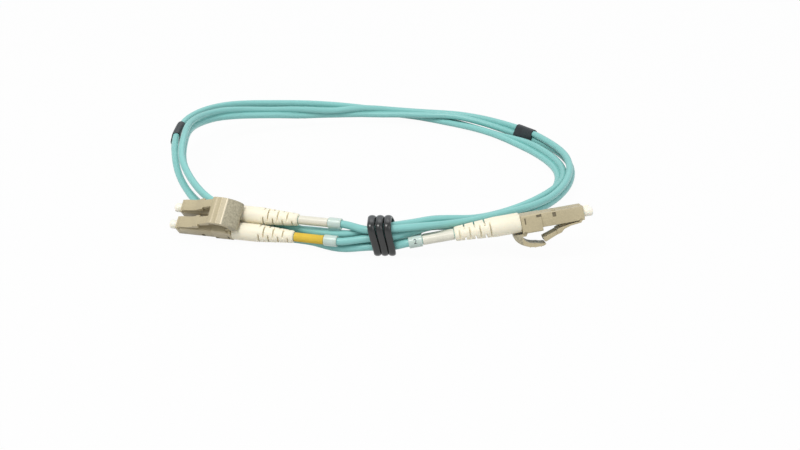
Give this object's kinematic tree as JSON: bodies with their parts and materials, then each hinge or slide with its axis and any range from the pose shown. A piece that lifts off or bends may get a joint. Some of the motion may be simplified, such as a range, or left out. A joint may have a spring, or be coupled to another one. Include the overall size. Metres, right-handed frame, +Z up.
{
  "type": "fiber optic patch cord",
  "caption": "Coiled duplex optical patch cord with a two-channel snap-in plug at each end, breakout legs, dust caps and a twist tie round the coil.",
  "frame": {"origin": "centre of the base rectangle of the two plugs, on the surface that the cord set lies on", "axes": "+X from the left-hand plug towards the right-hand plug, +Y across the coil away from the plugs, +Z up"},
  "size_m": [0.153, 0.1462, 0.0183],
  "materials": {
    "housing": "fine satin, moulded",
    "fibre": "clear buffered glass fibre",
    "rear_body": "moulded, satin",
    "crimp_sleeve": "bright, pressed",
    "boot": "soft satin",
    "ferrule": "polished",
    "flange": "turned",
    "spring": "drawn wire",
    "cap": "soft satin",
    "label_yellow": "printed tube, left bare",
    "label": "printed tube, left bare",
    "flag": "smooth",
    "jacket": "smooth extruded jacket",
    "sleeve": "shrunk tube",
    "tie": "coated wire"
  },
  "bodies": {
    "cord_set": {"clip_a": "housing", "clip_b": "housing", "fibre_a": "fibre", "fibre_b": "fibre", "housing_a1": "housing", "housing_a2": "housing", "housing_b1": "housing", "housing_b2": "housing", "rear_body_a1": "rear_body", "rear_body_a2": "rear_body", "rear_body_b1": "rear_body", "rear_body_b2": "rear_body", "crimp_sleeve_a1": "crimp_sleeve", "crimp_sleeve_a2": "crimp_sleeve", "crimp_sleeve_b1": "crimp_sleeve", "crimp_sleeve_b2": "crimp_sleeve", "boot_a1": "boot", "boot_a2": "boot", "boot_b1": "boot", "boot_b2": "boot", "spring_a1": "spring", "spring_a2": "spring", "spring_b1": "spring", "spring_b2": "spring", "label_a1": "label_yellow", "label_a2": "label", "label_b1": "label", "label_b2": "label", "flag_a1": "flag", "flag_a2": "flag", "flag_b1": "flag", "flag_b2": "flag", "leg_a1": "jacket", "leg_a2": "jacket", "leg_b1": "jacket", "leg_b2": "jacket", "duplex_cord": "jacket", "split_sleeve_a": "sleeve", "split_sleeve_b": "sleeve", "tie": "tie"},
    "trigger_a_body": {"trigger_a": "housing"},
    "latch_a1_body": {"latch_a1": "housing"},
    "cap_a1_body": {"cap_a1": "cap"},
    "ferrule_a1_body": {"ferrule_a1": "ferrule", "ferrule_flange_a1": "flange"},
    "latch_a2_body": {"latch_a2": "housing"},
    "cap_a2_body": {"cap_a2": "cap"},
    "ferrule_a2_body": {"ferrule_a2": "ferrule", "ferrule_flange_a2": "flange"},
    "trigger_b_body": {"trigger_b": "housing"},
    "latch_b1_body": {"latch_b1": "housing"},
    "cap_b1_body": {"cap_b1": "cap"},
    "ferrule_b1_body": {"ferrule_b1": "ferrule", "ferrule_flange_b1": "flange"},
    "latch_b2_body": {"latch_b2": "housing"},
    "cap_b2_body": {"cap_b2": "cap"},
    "ferrule_b2_body": {"ferrule_b2": "ferrule", "ferrule_flange_b2": "flange"}
  },
  "joints": [
    {"name": "trigger_a_press", "type": "hinge", "parent": "cord_set", "child": "trigger_a_body", "pos_m": [-0.04802, 0.00332, 0.00808], "axis": [-0.2117, -0.7246, -0.6559], "range_deg": [0, 12], "stiffness_Nm_per_rad": 0.085},
    {"name": "latch_a1_flex", "type": "hinge", "parent": "cord_set", "child": "latch_a1_body", "pos_m": [-0.06558, 0.00724, 0.00466], "axis": [0.2117, 0.7246, 0.6559], "range_deg": [0, 5.4], "stiffness_Nm_per_rad": 0.02},
    {"name": "cap_a1_pull", "type": "slide", "parent": "cord_set", "child": "cap_a1_body", "axis": [-0.9534, 0.3006, -0.0244], "range_m": [0, 0.008]},
    {"name": "ferrule_a1_float", "type": "slide", "parent": "cord_set", "child": "ferrule_a1_body", "axis": [0.9534, -0.3006, 0.0244], "range_m": [0, 0.001], "stiffness_N_per_m": 1000, "deforming": ["spring_a1"]},
    {"name": "latch_a2_flex", "type": "hinge", "parent": "cord_set", "child": "latch_a2_body", "pos_m": [-0.06426, 0.01176, 0.00876], "axis": [0.2117, 0.7246, 0.6559], "range_deg": [0, 5.4], "stiffness_Nm_per_rad": 0.02},
    {"name": "cap_a2_pull", "type": "slide", "parent": "cord_set", "child": "cap_a2_body", "axis": [-0.9534, 0.3006, -0.0244], "range_m": [0, 0.008]},
    {"name": "ferrule_a2_float", "type": "slide", "parent": "cord_set", "child": "ferrule_a2_body", "axis": [0.9534, -0.3006, 0.0244], "range_m": [0, 0.001], "stiffness_N_per_m": 1000, "deforming": ["spring_a2"]},
    {"name": "trigger_b_press", "type": "hinge", "parent": "cord_set", "child": "trigger_b_body", "pos_m": [0.04829, -0.00903, 0.00774], "axis": [-0.0411, -0.9464, 0.3204], "range_deg": [0, 12], "stiffness_Nm_per_rad": 0.085},
    {"name": "latch_b1_flex", "type": "hinge", "parent": "cord_set", "child": "latch_b1_body", "pos_m": [0.06566, -0.01127, 0.01308], "axis": [0.0411, 0.9464, -0.3204], "range_deg": [0, 5.4], "stiffness_Nm_per_rad": 0.02},
    {"name": "cap_b1_pull", "type": "slide", "parent": "cord_set", "child": "cap_b1_body", "axis": [0.984, 0.0172, 0.1771], "range_m": [0, 0.008]},
    {"name": "ferrule_b1_float", "type": "slide", "parent": "cord_set", "child": "ferrule_b1_body", "axis": [-0.984, -0.0172, -0.1771], "range_m": [0, 0.001], "stiffness_N_per_m": 1000, "deforming": ["spring_b1"]},
    {"name": "latch_b2_flex", "type": "hinge", "parent": "cord_set", "child": "latch_b2_body", "pos_m": [0.06592, -0.00536, 0.01108], "axis": [0.0411, 0.9464, -0.3204], "range_deg": [0, 5.4], "stiffness_Nm_per_rad": 0.02},
    {"name": "cap_b2_pull", "type": "slide", "parent": "cord_set", "child": "cap_b2_body", "axis": [0.984, 0.0172, 0.1771], "range_m": [0, 0.008]},
    {"name": "ferrule_b2_float", "type": "slide", "parent": "cord_set", "child": "ferrule_b2_body", "axis": [-0.984, -0.0172, -0.1771], "range_m": [0, 0.001], "stiffness_N_per_m": 1000, "deforming": ["spring_b2"]}
  ],
  "couplings": [
    {"joint": "latch_a1_flex", "follows": "trigger_a_press", "ratio": 0.45},
    {"joint": "latch_a2_flex", "follows": "trigger_a_press", "ratio": 0.45},
    {"joint": "latch_b1_flex", "follows": "trigger_b_press", "ratio": 0.45},
    {"joint": "latch_b2_flex", "follows": "trigger_b_press", "ratio": 0.45}
  ]
}
